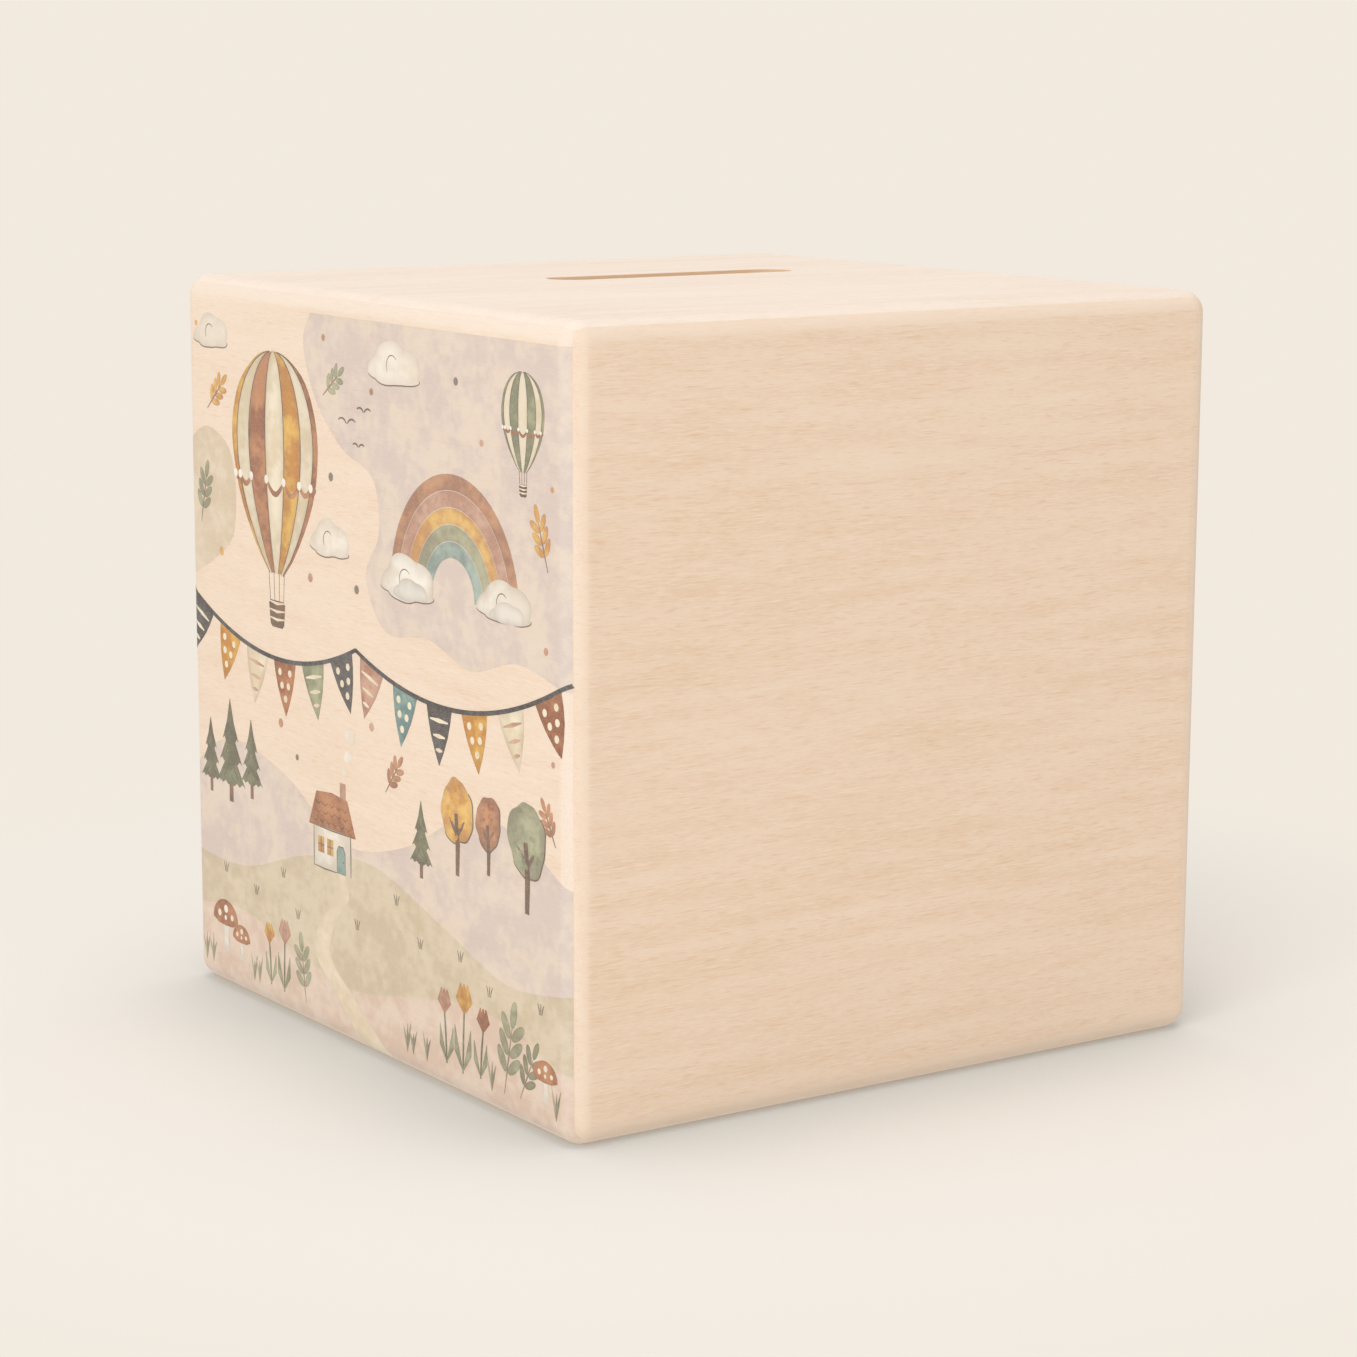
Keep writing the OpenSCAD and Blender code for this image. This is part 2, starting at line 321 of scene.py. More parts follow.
def beech_colour(tree, axes, board_number, tones):
    """Colour, height and relief of beech smoothed by sanding, for a board whose grain runs along axes[0].
    Its round-overs get a paler tone, partly the sanding's own look and partly a painted highlight.
    """
    space = grain_space(tree, axes, board_number)
    along, across, into = add(tree, "ShaderNodeSeparateXYZ", (space,)).outputs
    wander = grain_noise(tree, space, SWAY_SIZE)
    sway = add(tree, "ShaderNodeMath", (wander, SWAY_MM), operation="MULTIPLY")
    swayed = add(tree, "ShaderNodeMath", (into, sway), operation="ADD")
    depth = add(tree, "ShaderNodeMath", (across, RING_LEAN, swayed), operation="MULTIPLY_ADD")
    turn = add(tree, "ShaderNodeMath", (depth, 2 * math.pi / RING_MM), operation="MULTIPLY")
    ring = add(tree, "ShaderNodeMath", (turn,), operation="SINE")
    bent_across = add(tree, "ShaderNodeMath", (across, sway), operation="ADD")
    bent = add(tree, "ShaderNodeCombineXYZ", (along, bent_across, into))

    normal = add(tree, "ShaderNodeNewGeometry").outputs["Normal"]
    facing = add(tree, "ShaderNodeSeparateXYZ", (normal,)).outputs
    endwise = add(tree, "ShaderNodeMath", (facing["XYZ".index(axes[0])],), operation="ABSOLUTE")
    flatness = add(tree, "ShaderNodeMath", (facing["XYZ".index(axes[2])],), operation="ABSOLUTE")
    end_grain = add(tree, "ShaderNodeMapRange", {
        "Value": endwise, **END_GRAIN,
    }, interpolation_type="SMOOTHSTEP")

    cloud = grain_noise(tree, space, CLOUD_SIZE)
    streak = grain_noise(tree, bent, STREAK_SIZE, 3.0)
    fibre = grain_noise(tree, bent, FIBRE_SIZE, 1.0)
    tone = add(tree, "ShaderNodeMath", (cloud, WEIGHTS["cloud"]), operation="MULTIPLY")
    tone = add(tree, "ShaderNodeMath", (streak, WEIGHTS["streak"], tone), operation="MULTIPLY_ADD")
    tone = add(tree, "ShaderNodeMath", (fibre, WEIGHTS["fibre"], tone), operation="MULTIPLY_ADD")
    ring_weight = add(tree, "ShaderNodeMath", (
        end_grain, END_RING_WEIGHT, RING_WEIGHT,
    ), operation="MULTIPLY_ADD")
    tone = add(tree, "ShaderNodeMath", (ring, ring_weight, tone), operation="MULTIPLY_ADD")
    shades = add(tree, "ShaderNodeValToRGB", (tone,))
    ramp = shades.color_ramp.elements
    ramp[1].position = RAMP[-1][0]
    ramp.new(RAMP[1][0])
    for stop, (position, shade) in zip(ramp, RAMP):
        stop.position, stop.color = position, linear(tones[shade])

    long_flecks = grain_noise(tree, bent, FLECK_SIZE, 1.0)
    fleck = add(tree, "ShaderNodeMath", (ring, FLECK_RING, long_flecks), operation="MULTIPLY_ADD")
    fine = grain_noise(tree, bent, FINE_FLECK_SIZE, 1.0)
    fine_dashes, long_dashes, gleams, specks, sanded_highlight = (
        add(tree, "ShaderNodeMapRange", {"Value": value, **step}, interpolation_type="SMOOTHSTEP")
        for value, step in (
            (fine, FINE_DASHES), (fleck, DASHES), (fleck, GLEAMS), (fine, PORES), (flatness, SANDED_HIGHLIGHT),
        )
    )
    dashes = add(tree, "ShaderNodeMath", (long_dashes, fine_dashes), operation="MAXIMUM")
    pores = add(tree, "ShaderNodeMath", (specks, end_grain), operation="MULTIPLY")
    # The paler tone on the round-overs is partly the sanding's look and partly a painted highlight.
    marks = {"fleck": dashes, "pore": pores, "glue": glue_line(tree), "sanded_highlight": sanded_highlight}
    # The coin slot's wall gets a darker warm tan: a painted shade inside the slot.
    if "slot_shade" in tones:
        marks["slot_shade"] = routed_wall(tree)
    colour = add(tree, "ShaderNodeMix", {
        "Factor": gleams, "A": shades, "B": linear(tones["pale"]),
    }, data_type="RGBA").outputs["Result"]
    for mark, strength in marks.items():
        share = add(tree, "ShaderNodeMath", (strength, SHARES[mark]), operation="MULTIPLY")
        colour = add(tree, "ShaderNodeMix", {
            "Factor": share, "A": colour, "B": linear(tones[mark]),
        }, data_type="RGBA").outputs["Result"]

    pore_height = add(tree, "ShaderNodeMath", (pores, PORE_DEPTH), operation="MULTIPLY")
    height = add(tree, "ShaderNodeMath", (dashes, pore_height), operation="ADD")
    relief = add(tree, "ShaderNodeBump", {
        "Height": height, "Strength": FIBRE_STRENGTH, "Distance": FIBRE_RELIEF,
    }, invert=True)
    return colour, height, relief


def beech_material(name, axes, board_number, tones):
    """Lacquered beech: a soft satin sheen on warm, pale wood with its fibres just felt."""
    material, tree = empty_material(name)
    colour, height, relief = beech_colour(tree, axes, board_number, tones)
    rough = add(tree, "ShaderNodeMapRange", {
        "Value": height, "From Max": PORE_DEPTH, "To Min": SMOOTH_LACQUER, "To Max": ROUGH_LACQUER,
    }, interpolation_type="SMOOTHSTEP")
    wood = add(tree, "ShaderNodeBsdfPrincipled", {
        "Base Color": colour, "Roughness": rough, "Normal": relief, "IOR": LACQUER_IOR,
    })
    add(tree, "ShaderNodeOutputMaterial", {"Surface": wood})
    return material


def finish_node(node, material):
    """Gives a CAD node its finish."""
    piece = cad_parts[node]
    piece.data.materials.clear()
    piece.data.materials.append(material)


# For each board, the axes that run along the grain, across it and into the board.
BOARD_AXES = {
    "front_panel": "XZY", "back_panel": "XZY", "left_panel": "YZX",
    "right_panel": "YZX", "top_panel": "YXZ", "base_panel": "YXZ",
}
# The front board keeps the base tones, which are paler than the side boards': partly its own tone, partly
# painted light for the brighter light on its face.
SIDE_BEECH = {**BEECH, "pale": "#f2dcc6", "mid": "#eed5bb", "dark": "#e9cbaf"}
FRONT_BEECH_PAINTED_LIGHT = {**BEECH, "sanded_highlight": "#f1e3d6", "fleck": "#e0ba93"}
# The top board's tones are paler than the sides': partly its own tone, partly a painted sheen.
TOP_BEECH_PAINTED_SHEEN = {
    **BEECH, "pale": "#faeadc", "mid": "#f6e5d5", "dark": "#efdac6",
    "fleck": "#dfb792", "sanded_highlight": "#f3e2d2", "slot_shade": "#f9cd97",
}
for number, (node, axes) in enumerate(BOARD_AXES.items()):
    tones = {"top_panel": TOP_BEECH_PAINTED_SHEEN, "front_panel": FRONT_BEECH_PAINTED_LIGHT}.get(node, SIDE_BEECH)
    finish_node(node, beech_material("lacquered_beech_" + node, axes, number, tones))


# Printed design. A generic nursery picture in soft watercolour inks, printed straight
# onto the sanded front board: washes of colour with the grain showing through, balloons,
# a rainbow, bunting, and a cottage among hills, trees and flowers.

INK = {
    "sand": ("#c8b796", "#dccfb6"), "lilac": ("#c8bab8", "#decfbf"), "blush": ("#d0b3a1", "#e2cfbf"),
    "khaki": ("#b7a985", "#d0c4a6"), "gold": ("#c27d12", "#ebba4c"), "clay": ("#8c4a22", "#c07f50"),
    "cream": ("#f2e6cc", "#e0cfae"), "sage": ("#757d61", "#a6ab88"), "fir": ("#434b35", "#727a59"),
    "brown": ("#46291a", "#74503a"), "slate": ("#2c2f34", "#505359"), "sky": ("#578383", "#98bab2"),
    "rose": ("#ab7059", "#cfa28b"), "white": ("#f7f1e6", "#e6dccb"), "pen": ("#33271f", "#4a3c33"),
    "mist": ("#d8d5cc", "#e9e2d6"),
}
RIM_STAIN = (0.55, 0.5, 0.46, 1.0)

# Sizes in millimetres: the films' lift, the print's border, the box's round-overs and
# half width, the lines where a film is folded to follow a round-over, and the ink's runs
# and granules, which are as coarse as they need to be to show.
FILM_MM, LAYER_MM, LAYER_STEPS = 0.012, 0.006, 7
PRINT_EDGE = 49.1
PRINT_LOW, PRINT_HIGH = 1.2, 97.0
EDGE_MM = 3.0
HALF_MM = 500 * (cad_high.x - cad_low.x)
FOLDS = (47.0, 47.4, 47.8, 48.2, 48.5, 48.8)
RUN_SIZE, FINE_RUN_SIZE = (7.0, 6.0, 6.0), (1.6, 1.4, 1.4)
GRANULE_SIZE = (0.34, 0.22, 0.22)

FINE_RUN_WEIGHT, GRANULE_LOSS = 0.45, -0.1
RIM_POWER, RIM_SHARE = 1.6, 0.5
RUNS = {"From Min": 0.58, "From Max": 0.88}
GRANULES = {"From Min": 0.35, "From Max": 0.7}
INK_SHEEN = {"From Min": 0.3, "From Max": 0.7, "To Min": 0.5, "To Max": 0.6}
brush = random.Random(11)


def smooth_line(points, steps):
    """A Catmull-Rom curve through the points."""
    last = len(points) - 1
    line = []
    for i in range(last):
        p0, p1, p2, p3 = (Vector(points[min(max(i + k, 0), last)]) for k in (-1, 0, 1, 2))
        for j in range(steps):
            t = j / steps
            line.append(0.5 * (2 * p1 + (p2 - p0) * t + (2 * p0 - 5 * p1 + 4 * p2 - p3) * t * t
                               + (3 * p1 - p0 - 3 * p2 + p3) * t ** 3))
    return line + [Vector(points[-1])]


def oval(x, z, wide, high, turn=0.0, count=28):
    """The outline of an ellipse, turned by degrees."""
    c, s = math.cos(math.radians(turn)), math.sin(math.radians(turn))
    angles = [2 * math.pi * i / count for i in range(count)]
    return [Vector((x + wide * math.cos(a) * c - high * math.sin(a) * s,
                    z + wide * math.cos(a) * s + high * math.sin(a) * c)) for a in angles]


def hand_drawn(outline, amount):
    """An outline that strays from itself a little, as a brush does."""
    waves = [(brush.uniform(0, 6.3), k, amount / k ** 0.5) for k in (2, 3, 5, 9)]
    middle = sum(outline, Vector((0, 0))) / len(outline)
    strayed = []
    for i, point in enumerate(outline):
        turn = 2 * math.pi * i / len(outline)
        away = (point - middle).normalized() if (point - middle).length > 1e-6 else Vector((0, 0))
        strayed.append(point + away * sum(size * math.sin(k * turn + phase) for phase, k, size in waves))
    return strayed


def stroke(points, width, tip=0.35):
    """A brush stroke along a line, thinner at its ends."""
    line = [Vector(p) for p in points]
    left, right = [], []
    for i, point in enumerate(line):
        along = (line[min(i + 1, len(line) - 1)] - line[max(i - 1, 0)]).normalized()
        share = i / (len(line) - 1)
        half = width / 2 * (tip + (1 - tip) * math.sin(math.pi * share) ** 0.5)
        side = Vector((-along.y, along.x)) * half
        left.append(point + side)
        right.append(point - side)
    return left + right[::-1]


def paint(patches, outline, ink, cover=0.85, layer=1, rim=1.0):
    """Adds a patch of ink: its outline in millimetres, its two tones and its strength."""
    lift = FILM_MM + LAYER_MM * (layer + len(patches) % LAYER_STEPS / LAYER_STEPS)
    patches.append((outline, ink, cover, lift, rim))


def pen_line(patches, points, layer, width=0.2):
    """A thin brown line, as a fine pen draws it over the dried washes."""
    paint(patches, stroke(points, width, 0.5), "pen", 0.85, layer, 0)


def onto_board(x, z, lift):
    """The point above the front board's face, its round-overs and its round corners."""
    inner = HALF_MM - EDGE_MM
    over_x = max(abs(x) - inner, 0.0)
    over_z = max(abs(z - HALF_MM) - inner, 0.0)
    ahead = math.sqrt(max(EDGE_MM ** 2 - over_x ** 2 - over_z ** 2, 0.01))
    normal = Vector((math.copysign(over_x, x), -ahead, math.copysign(over_z, z - HALF_MM))) / EDGE_MM
    return (Vector((x, -inner - ahead, z)) + normal * lift) / 1000


def on_border(point):
    """Whether an outline's point lies on the print's own border."""
    return abs(point.x) > PRINT_EDGE - 0.05 or not PRINT_LOW + 0.05 < point.y < PRINT_HIGH - 0.05


def rim_distance(point, outline):
    """How far a point is from the painted part of an outline."""
    nearest = HALF_MM
    for a, b in zip(outline, outline[1:] + outline[:1]):
        if not (on_border(a) and on_border(b)):
            along = b - a
            t = max(0.0, min(1.0, (point - a).dot(along) / max(along.length_squared, 1e-9)))
            nearest = min(nearest, (point - a - along * t).length)
    return nearest


def flat_patch(outline, rim_mm):
    """A triangulated patch in millimetres, with rows of points that follow its rim."""
    count = len(outline)
    points = list(outline)
    for step in (0.35 * rim_mm, rim_mm) if rim_mm else ():
        for i in range(count):
            along = (outline[(i + 1) % count] - outline[i - 1]).normalized()
            guide = outline[i] + Vector((-along.y, along.x)) * step
            if rim_distance(guide, outline) > 0.93 * step:
                points.append(guide)
    sides = [(i, (i + 1) % count) for i in range(count)]
    corners, _, triangles, *_ = delaunay_2d_cdt(points, sides, [list(range(count))], 1, 1e-4)
    flat = bmesh.new()
    verts = [flat.verts.new((p.x, p.y, 0)) for p in corners]
    for triangle in triangles:
        flat.faces.new([verts[i] for i in triangle])
    bmesh.ops.delete(flat, geom=[v for v in flat.verts if not v.link_faces], context="VERTS")
    for fold in FOLDS:
        for side in (-fold, fold):
            for cut, across in (((side, 0, 0), (1, 0, 0)), ((0, HALF_MM + side, 0), (0, 1, 0))):
                parts = flat.verts[:] + flat.edges[:] + flat.faces[:]
                bmesh.ops.bisect_plane(flat, geom=parts, plane_co=cut, plane_no=across)
    return flat


def patch_mesh(target, tones, seconds, patch):
    """Adds one patch to the mesh as a thin closed film that follows the board's surface."""
    outline, ink, cover, lift, rim = patch
    area = sum(a.cross(b) for a, b in zip(outline, outline[1:] + outline[:1])) / 2
    if area < 0:
        outline = outline[::-1]
    rim_mm = min(0.25 * math.sqrt(abs(area)), 2.0) if rim and abs(area) > 1.2 else 0
    flat = flat_patch(outline, rim_mm)
    pigment, second = (linear(tone) for tone in INK[ink])
    films = []
    for height in (lift, -FILM_MM):
        film = {}
        for v in flat.verts:
            nearness = 1 - min(rim_distance(v.co.xy, outline) / rim_mm, 1) if rim_mm else 0
            film[v] = target.verts.new(onto_board(v.co.x, v.co.y, height))
            film[v][tones] = (*pigment[:3], cover)
            film[v][seconds] = (*second[:3], rim * nearness)
        films.append(film)
    upper, lower = films
    for face in flat.faces:
        target.faces.new([upper[v] for v in face.verts]).smooth = True
        target.faces.new([lower[v] for v in reversed(face.verts)])
    for edge in flat.edges:
        if len(edge.link_faces) == 1:
            a, b = edge.link_loops[0].vert, edge.link_loops[0].link_loop_next.vert
            target.faces.new([upper[a], lower[a], lower[b], upper[b]])
            target.edges.get((upper[a], upper[b])).smooth = False
    flat.free()


def watercolour_ink():
    """Water-based ink on bare grain: two tones run into each other, settle in the wood's
    fibres as fine granulation, and dry darker round the rim of each patch."""
    material, tree = empty_material("watercolour_ink_on_beech")
    wood, _, relief = beech_colour(tree, BOARD_AXES["front_panel"], 0, FRONT_BEECH_PAINTED_LIGHT)
    space = grain_space(tree, BOARD_AXES["front_panel"], 0)
    first = add(tree, "ShaderNodeVertexColor", layer_name="pigment").outputs
    second = add(tree, "ShaderNodeVertexColor", layer_name="second").outputs
    runs = grain_noise(tree, space, RUN_SIZE, 3.0, 0.6)
    fine_runs = grain_noise(tree, space, FINE_RUN_SIZE, 2.0)
    flow = add(tree, "ShaderNodeMath", (fine_runs, FINE_RUN_WEIGHT, runs), operation="MULTIPLY_ADD")
    grains = grain_noise(tree, space, GRANULE_SIZE, 1.0)
    share, speck, rough = (
        add(tree, "ShaderNodeMapRange", {"Value": value, **step}, interpolation_type="SMOOTHSTEP")
        for value, step in ((flow, RUNS), (grains, GRANULES), (grains, INK_SHEEN))
    )
    tone = add(tree, "ShaderNodeMix", {
        "Factor": share, "A": first["Color"], "B": second["Color"],
    }, data_type="RGBA").outputs["Result"]

    dried = add(tree, "ShaderNodeMath", (second["Alpha"], RIM_POWER), operation="POWER")
    rim = add(tree, "ShaderNodeMath", (dried, RIM_SHARE), operation="MULTIPLY")
    stained = add(tree, "ShaderNodeMix", {
        "Factor": 1.0, "A": tone, "B": RIM_STAIN,
    }, data_type="RGBA", blend_type="MULTIPLY").outputs["Result"]
    deeper = add(tree, "ShaderNodeMix", {
        "Factor": rim, "A": tone, "B": stained,
    }, data_type="RGBA").outputs["Result"]

    held = add(tree, "ShaderNodeMath", (speck, GRANULE_LOSS, 1.0), operation="MULTIPLY_ADD")
    cover = add(tree, "ShaderNodeMath", (first["Alpha"], held), operation="MULTIPLY")
    colour = add(tree, "ShaderNodeMix", {
        "Factor": cover, "A": wood, "B": deeper,
    }, data_type="RGBA").outputs["Result"]
    film = add(tree, "ShaderNodeBsdfPrincipled", {
        "Base Color": colour, "Roughness": rough, "Normal": relief, "IOR": LACQUER_IOR,
    })
    add(tree, "ShaderNodeOutputMaterial", {"Surface": film})
    return material


ink_finish = watercolour_ink()


def ink_piece(name, patches):
    """Joins the patches of one motif into a piece that rides on the box."""
    mesh = bpy.data.meshes.new(name)
    body = bmesh.new()
    tones = body.verts.layers.float_color.new("pigment")
    seconds = body.verts.layers.float_color.new("second")
    for patch in patches:
        patch_mesh(body, tones, seconds, patch)
    body.to_mesh(mesh)
    body.free()
    mesh.materials.append(ink_finish)
    piece = bpy.data.objects.new(name, mesh)
    scene.collection.objects.link(piece)
    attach(piece, "box")


# Washes. The pale tones behind everything, laid on first with a wide brush: two in the
# sky, and three hills that run down to the board's lower edge.

def hill(patches, crest, ink, cover, layer):
    """A wash from its crest line down to the board's lower edge."""
    line = smooth_line(crest, steps=7)
    foot = [Vector((PRINT_EDGE, PRINT_LOW)), Vector((-PRINT_EDGE, PRINT_LOW))]
    paint(patches, line + foot, ink, cover, layer, 0.4)


washes = []
sky_rim = [
    (-13, PRINT_HIGH), (-15, 93), (-12, 86), (-5, 80), (3, 77), (4.5, 70), (1, 64),
    (6, 57.5), (17, 58), (27, 55.5), (38, 58), (PRINT_EDGE, 56),
]
haze_rim = [(-PRINT_EDGE, 77), (-43, 79.5), (-36, 76), (-35.5, 66), (-41, 61.5), (-PRINT_EDGE, 58)]
far_crest = [
    (-PRINT_EDGE, 31), (-38, 36.5), (-22, 34), (-6, 27.5),
    (10, 30), (27, 37.5), (40, 36), (PRINT_EDGE, 32),
]
near_crest = [(-PRINT_EDGE, 19), (-34, 19), (-16, 24), (2, 26), (20, 21.5), (35, 17.5), (PRINT_EDGE, 19)]
meadow_crest = [(-PRINT_EDGE, 11), (-36, 12.5), (-20, 10), (-4, 8), (14, 11), (30, 13), (PRINT_EDGE, 9)]
sky = smooth_line(sky_rim, steps=6) + [Vector((PRINT_EDGE, PRINT_HIGH))]
paint(washes, sky, "lilac", 0.62, 0, 0.35)
paint(washes, smooth_line(haze_rim, steps=6), "sand", 0.6, 0, 0.35)
hill(washes, far_crest, "lilac", 0.62, 0)
hill(washes, near_crest, "khaki", 0.6, 1)
hill(washes, meadow_crest, "blush", 0.6, 2)
ink_piece("ink_washes", washes)


# Balloons. A large golden hot-air balloon and a small green one, printed gore by gore,
# with ropes and baskets, and three white clouds beside them.

def curl(x, z, radius, start, end):
    """Points on an arc between two angles in degrees."""
    turns = [math.radians(start + (end - start) * i / 10) for i in range(11)]
    return [(x + radius * math.cos(t), z + radius * math.sin(t)) for t in turns]


def cloud(patches, x, z, wide, high, ink, cover, layer, penned=True):
    """A low cloud with a flat foot and five rounded heads, its foot and one head penned."""
    outline = []
    for i in range(72):
        turn = 2 * math.pi * i / 72
        swell = 1 + 0.17 * abs(math.sin(2.5 * turn))
        rise = math.sin(turn) * (1.0 if math.sin(turn) > 0 else 0.32)
        outline.append(Vector((x + wide / 2 * math.cos(turn) * swell * 0.9, z + high * rise * swell)))
    outline = hand_drawn(outline, 0.03 * high)
    paint(patches, outline, ink, cover, layer)
    if penned:
        pen_line(patches, outline[37:71], layer + 1, 0.16)
        pen_line(patches, curl(x - 0.05 * wide, z + 0.3 * high, 0.36 * high, 40, 215), layer + 1, 0.14)


def balloon(patches, x, z, radius, inks):
    """A hot-air balloon: an envelope of seven gores, its ropes and its basket."""
    mouth, mouth_z = 0.17 * radius, z - 1.45 * radius

    def half_width(level):
        if level >= z:
            return math.sqrt(max(radius ** 2 - (level - z) ** 2, 0.0))
        return mouth + (radius - mouth) * math.cos(math.pi / 2 * (z - level) / (z - mouth_z)) ** 0.85

    levels = [mouth_z + (z + radius * 0.995 - mouth_z) * math.sin(math.pi / 2 * i / 22) for i in range(23)]
    meridians = [math.sin(math.radians(a)) for a in (-90, -62, -37, -12.5, 12.5, 37, 62, 90)]
    for k in range(7):
        up = [Vector((x + meridians[k] * half_width(v), v)) for v in levels]
        down = [Vector((x + meridians[k + 1] * half_width(v), v)) for v in reversed(levels)]
        paint(patches, hand_drawn(up + down[1:], 0.012 * radius), inks[k % len(inks)], 0.88, 2)
    for meridian in meridians[1:-1]:
        pen_line(patches, [(x + meridian * half_width(v), v) for v in levels], 3, 0.012 * radius + 0.05)
    band = z - 0.42 * radius
    for k in range(7):
        a, b = (x + meridians[k + s] * half_width(band) for s in (0, 1))
        dip = 0.16 * radius * (b - a) / (0.43 * radius)
        swag = [(a + (b - a) * t / 8, band - dip * math.sin(math.pi * t / 8)) for t in range(9)]
        paint(patches, stroke(swag, 0.05 * radius + 0.15), "clay", 0.85, 4, 0)
        paint(patches, oval(a, band, 0.045 * radius, 0.05 * radius, 0, 12), "white", 0.9, 5, 0)
    basket_z = mouth_z - 0.3 * radius
    for side in (-1, -0.35, 0.35, 1):
        rope = [(x + side * mouth * 1.05, mouth_z + 0.1), (x + side * mouth * 0.9, basket_z - 0.1)]
        paint(patches, stroke(rope, 0.3), "brown", 0.85, 1, 0)
    wide, high = 0.19 * radius, 0.3 * radius
    foot_z = basket_z - high
    tub = [(x - wide, basket_z), (x + wide, basket_z), (x + 0.8 * wide, foot_z), (x - 0.8 * wide, foot_z)]
    outline = []
    for i in range(4):
        a, b = Vector(tub[i]), Vector(tub[(i + 1) % 4])
        outline += [a.lerp(b, t) for t in (0.12, 0.5, 0.88)]
    paint(patches, outline, "brown", 0.88, 2)
    for t in (0.05, 0.35, 0.65):
        level = basket_z - high * t
        cane = [(x - wide * 0.95, level), (x, level - 0.06 * high), (x + wide * 0.95, level)]
        paint(patches, stroke(cane, 0.028 * radius + 0.08), "cream", 0.7, 3, 0)


balloons = []
balloon(balloons, -23.5, 79, 12.2, ("gold", "cream", "clay", "cream"))
balloon(balloons, 39.5, 88.5, 4.9, ("sage", "cream"))
cloud(balloons, -41.5, 91.5, 10, 3.2, "white", 0.75, 1)
cloud(balloons, -8.5, 66.5, 10.5, 3.4, "white", 0.75, 1)
cloud(balloons, 9, 90.5, 13, 3.8, "white", 0.7, 2)
ink_piece("ink_balloons", balloons)


# Rainbow. Five soft bands of ink side by side, with both ends in a white cloud that has
# a pale grey underside.

rainbow = []
arch_x, arch_z = 23, 64
for band, ink in enumerate(("clay", "rose", "gold", "sage", "sky")):
    outer, inner = 15.5 - 2.1 * band, 13.5 - 2.1 * band
    arc = [math.pi * i / 40 for i in range(41)]
    outline = [Vector((arch_x + outer * math.cos(a), arch_z + outer * math.sin(a))) for a in arc]
    outline += [Vector((arch_x + inner * math.cos(a), arch_z + inner * math.sin(a))) for a in reversed(arc)]
    paint(rainbow, outline, ink, 0.78, 2, 0.8)
cloud(rainbow, 11.8, 63.6, 13.5, 4.0, "white", 0.92, 4)
cloud(rainbow, 35.2, 63.8, 12.5, 3.6, "white", 0.92, 4)
cloud(rainbow, 12.5, 62.9, 8.5, 2.0, "mist", 0.9, 5, False)
cloud(rainbow, 35.8, 63.2, 8.0, 1.8, "mist", 0.9, 5, False)
ink_piece("ink_rainbow", rainbow)


# Bunting. Twelve flags on a slate-grey string, in two swags from edge to edge, with
# spots and stripes printed over them by turns.

SAG = 5.5
HALF_FLAG, FLAG_DROP = 3.1, 7.6


def on_string(swag, t):
    """The point at a share of the way along a string that sags between its two ends."""
    (x0, z0), (x1, z1) = swag
    return Vector((x0 + (x1 - x0) * t, z0 + (z1 - z0) * t - SAG * 4 * t * (1 - t)))


bunting = []
swags = (((-PRINT_EDGE, 56.5), (-2, 54)), ((-2, 54), (PRINT_EDGE, 57)))
flag_inks = ("slate", "gold", "cream", "clay", "sage", "slate", "rose", "sky")
flag = 0
for swag in swags:
    string = [on_string(swag, i / 30) for i in range(31)]
    paint(bunting, stroke(string, 0.6, 0.9), "slate", 0.95, 5, 0)
    for k in range(6):
        t = (k + 0.5) / 6
        middle = on_string(swag, t)
        along = (on_string(swag, t + 0.02) - on_string(swag, t - 0.02)).normalized()
        down = Vector((along.y, -along.x))
        left, right = middle - along * HALF_FLAG, middle + along * HALF_FLAG
        tip = middle + down * FLAG_DROP
        quarters = [(s, along * 0.5 * math.sin(math.pi * s)) for s in (0.25, 0.5, 0.75)]
        sides = [left, middle, right]
        sides += [right.lerp(tip, s) + swell for s, swell in quarters] + [tip]
        sides += [tip.lerp(left, s) - swell for s, swell in quarters]
        ink = flag_inks[flag % len(flag_inks)]
        paint(bunting, sides, ink, 0.92, 3)
        mark = "cream" if ink != "cream" else "rose"
        if flag % 2:
            for step, spread in ((1.6, 1.4), (3.4, 0.9), (5.2, 0.0)):
                for side in ((-1, 1) if spread else (0,)):
                    spot = middle + down * step + along * spread * side
                    paint(bunting, oval(spot.x, spot.y, 0.5, 0.5, 0, 14), mark, 0.85, 4, 0)
        else:
            for step, half in ((1.8, 2.2), (3.8, 1.45), (5.6, 0.8)):
                spot = middle + down * step
                stripe = [spot - along * half, spot, spot + along * half]
                paint(bunting, stroke(stripe, 0.6), mark, 0.8, 4, 0)
        flag += 1
ink_piece("ink_bunting", bunting)


# Trees. Four firs and three round trees on the far hill, each printed as a trunk with
# its crown over it and a few fine pen lines.

